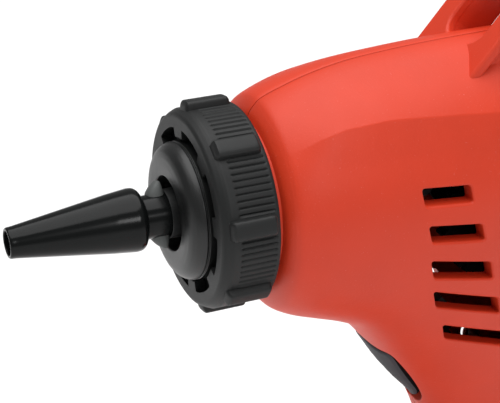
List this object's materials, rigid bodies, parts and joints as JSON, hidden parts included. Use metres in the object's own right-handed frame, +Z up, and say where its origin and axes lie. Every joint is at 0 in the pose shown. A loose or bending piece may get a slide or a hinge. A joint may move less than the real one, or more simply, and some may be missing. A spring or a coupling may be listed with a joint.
{
  "type": "cordless hot-melt glue gun",
  "caption": "Cordless glue gun: black nozzle cone on a bayonet neck, domed heat shield, lobed union collar, red louvred clamshell with hanging loop, flush trigger, slide-on battery.",
  "frame": {"origin": "bottom centre of the bounding box, on the plane the battery stands on", "axes": "+X forward along the nozzle, +Y to the left side of the tool, +Z up"},
  "size_m": [0.2046, 0.07, 0.2523],
  "materials": {
    "red_shell_plastic": "fine spark texture",
    "matte_black_plastic": "matte",
    "trigger_dark_grey": "matte",
    "gloss_black_sleeve": "glossy",
    "brass": "turned",
    "plated_steel": "plated",
    "cast_aluminium": "cast",
    "ceramic_plate": "unglazed",
    "mica_fibre": "wound fibre",
    "silicone_rubber": "matte",
    "glue_resin": "waxy",
    "white_nylon": "natural",
    "board_green": "solder mask",
    "green_lens": "clear tinted",
    "cell_wrap": "shrink wrap"
  },
  "bodies": {
    "housing": {"housing_left": "red_shell_plastic", "housing_right": "red_shell_plastic", "heat_shield_disc": "matte_black_plastic", "nose_socket": "matte_black_plastic", "trigger_switch": "matte_black_plastic", "terminal_block": "brass", "heater_clip": "plated_steel", "feed_motor": "plated_steel", "feed_plate_left": "plated_steel", "feed_plate_right": "plated_steel", "arm_pin": "plated_steel", "idler_spring": "plated_steel", "trigger_pin": "plated_steel", "trigger_spring": "plated_steel", "screw_1": "plated_steel", "screw_2": "plated_steel", "screw_3": "plated_steel", "screw_4": "plated_steel", "screw_5": "plated_steel", "screw_6": "plated_steel", "screw_7": "plated_steel", "melt_chamber": "cast_aluminium", "heater_upper": "ceramic_plate", "heater_lower": "ceramic_plate", "insulator_tube": "mica_fibre", "stick_seal": "silicone_rubber", "inlet_bush": "silicone_rubber", "heat_sensor": "glue_resin", "circuit_board": "board_green", "indicator_lens": "green_lens"},
    "trigger": {"trigger": "trigger_dark_grey"},
    "plunger": {"switch_plunger": "white_nylon"},
    "collar": {"collar_nut": "matte_black_plastic"},
    "nozzle": {"nozzle_sleeve": "gloss_black_sleeve", "nozzle_core": "brass", "check_spring": "plated_steel"},
    "ball": {"check_ball": "plated_steel"},
    "feed_drive": {"feed_roller": "plated_steel", "feed_gear": "white_nylon"},
    "motor_rotor": {"motor_shaft": "plated_steel", "motor_pinion": "brass"},
    "idler_arm": {"idler_arm": "white_nylon", "idler_axle": "plated_steel"},
    "idler": {"idler_roller": "silicone_rubber"},
    "stick": {"glue_stick": "glue_resin"},
    "power_button": {"power_button": "matte_black_plastic"},
    "battery": {"battery_upper_shell": "matte_black_plastic", "battery_lower_shell": "matte_black_plastic", "latch_spring": "plated_steel", "cell_1": "cell_wrap", "cell_2": "cell_wrap", "cell_3": "cell_wrap", "cell_4": "cell_wrap", "cell_5": "cell_wrap"},
    "latch": {"latch_button": "red_shell_plastic"}
  },
  "joints": [
    {"name": "trigger_pull", "type": "hinge", "parent": "housing", "child": "trigger", "pos_m": [-0.00651, 0, 0.13935], "axis": [0, 1, 0], "range_deg": [0, 5], "stiffness_Nm_per_rad": 2, "springref_deg": -1.15, "deforming": ["trigger_spring"]},
    {"name": "plunger_push", "type": "slide", "parent": "housing", "child": "plunger", "axis": [-0.7725, 0, 0.635], "range_m": [0, 0.0015]},
    {"name": "collar_turn", "type": "hinge", "parent": "housing", "child": "collar", "pos_m": [0.0439, 0, 0.188], "axis": [1, 0, 0], "range_deg": [0, 360]},
    {"name": "nozzle_turn", "type": "hinge", "parent": "housing", "child": "nozzle", "pos_m": [0.0619, 0, 0.188], "axis": [1, 0, 0], "range_deg": [0, 90]},
    {"name": "ball_lift", "type": "slide", "parent": "nozzle", "child": "ball", "axis": [1, 0, 0], "range_m": [0, 0.0009], "stiffness_N_per_m": 40},
    {"name": "roller_spin", "type": "hinge", "parent": "housing", "child": "feed_drive", "pos_m": [-0.0431, 0, 0.1751], "axis": [0, 1, 0], "continuous": true},
    {"name": "motor_spin", "type": "hinge", "parent": "housing", "child": "motor_rotor", "pos_m": [-0.06116, 0, 0.15766], "axis": [0, 1, 0], "continuous": true},
    {"name": "arm_swing", "type": "hinge", "parent": "housing", "child": "idler_arm", "pos_m": [-0.0541, 0, 0.205], "axis": [0, -1, 0], "range_deg": [0, 6], "stiffness_Nm_per_rad": 1.5, "springref_deg": -1.15, "deforming": ["idler_spring"]},
    {"name": "idler_spin", "type": "hinge", "parent": "idler_arm", "child": "idler", "pos_m": [-0.0431, 0, 0.2003], "axis": [0, 1, 0], "continuous": true},
    {"name": "stick_slide", "type": "slide", "parent": "housing", "child": "stick", "axis": [-1, 0, 0], "range_m": [0, 0.12]},
    {"name": "power_press", "type": "slide", "parent": "housing", "child": "power_button", "axis": [0, -1, 0], "range_m": [0, 0.0012], "stiffness_N_per_m": 500},
    {"name": "battery_slide", "type": "slide", "parent": "housing", "child": "battery", "axis": [1, 0, 0], "range_m": [0, 0.08]},
    {"name": "latch_press", "type": "slide", "parent": "battery", "child": "latch", "axis": [0, 0, -1], "range_m": [0, 0.0015], "stiffness_N_per_m": 800, "deforming": ["latch_spring"]}
  ],
  "couplings": [
    {"joint": "plunger_push", "follows": "trigger_pull", "m_per_rad": 0.0162},
    {"joint": "motor_spin", "follows": "roller_spin", "ratio": -4},
    {"joint": "idler_spin", "follows": "roller_spin", "ratio": -1.0938}
  ]
}
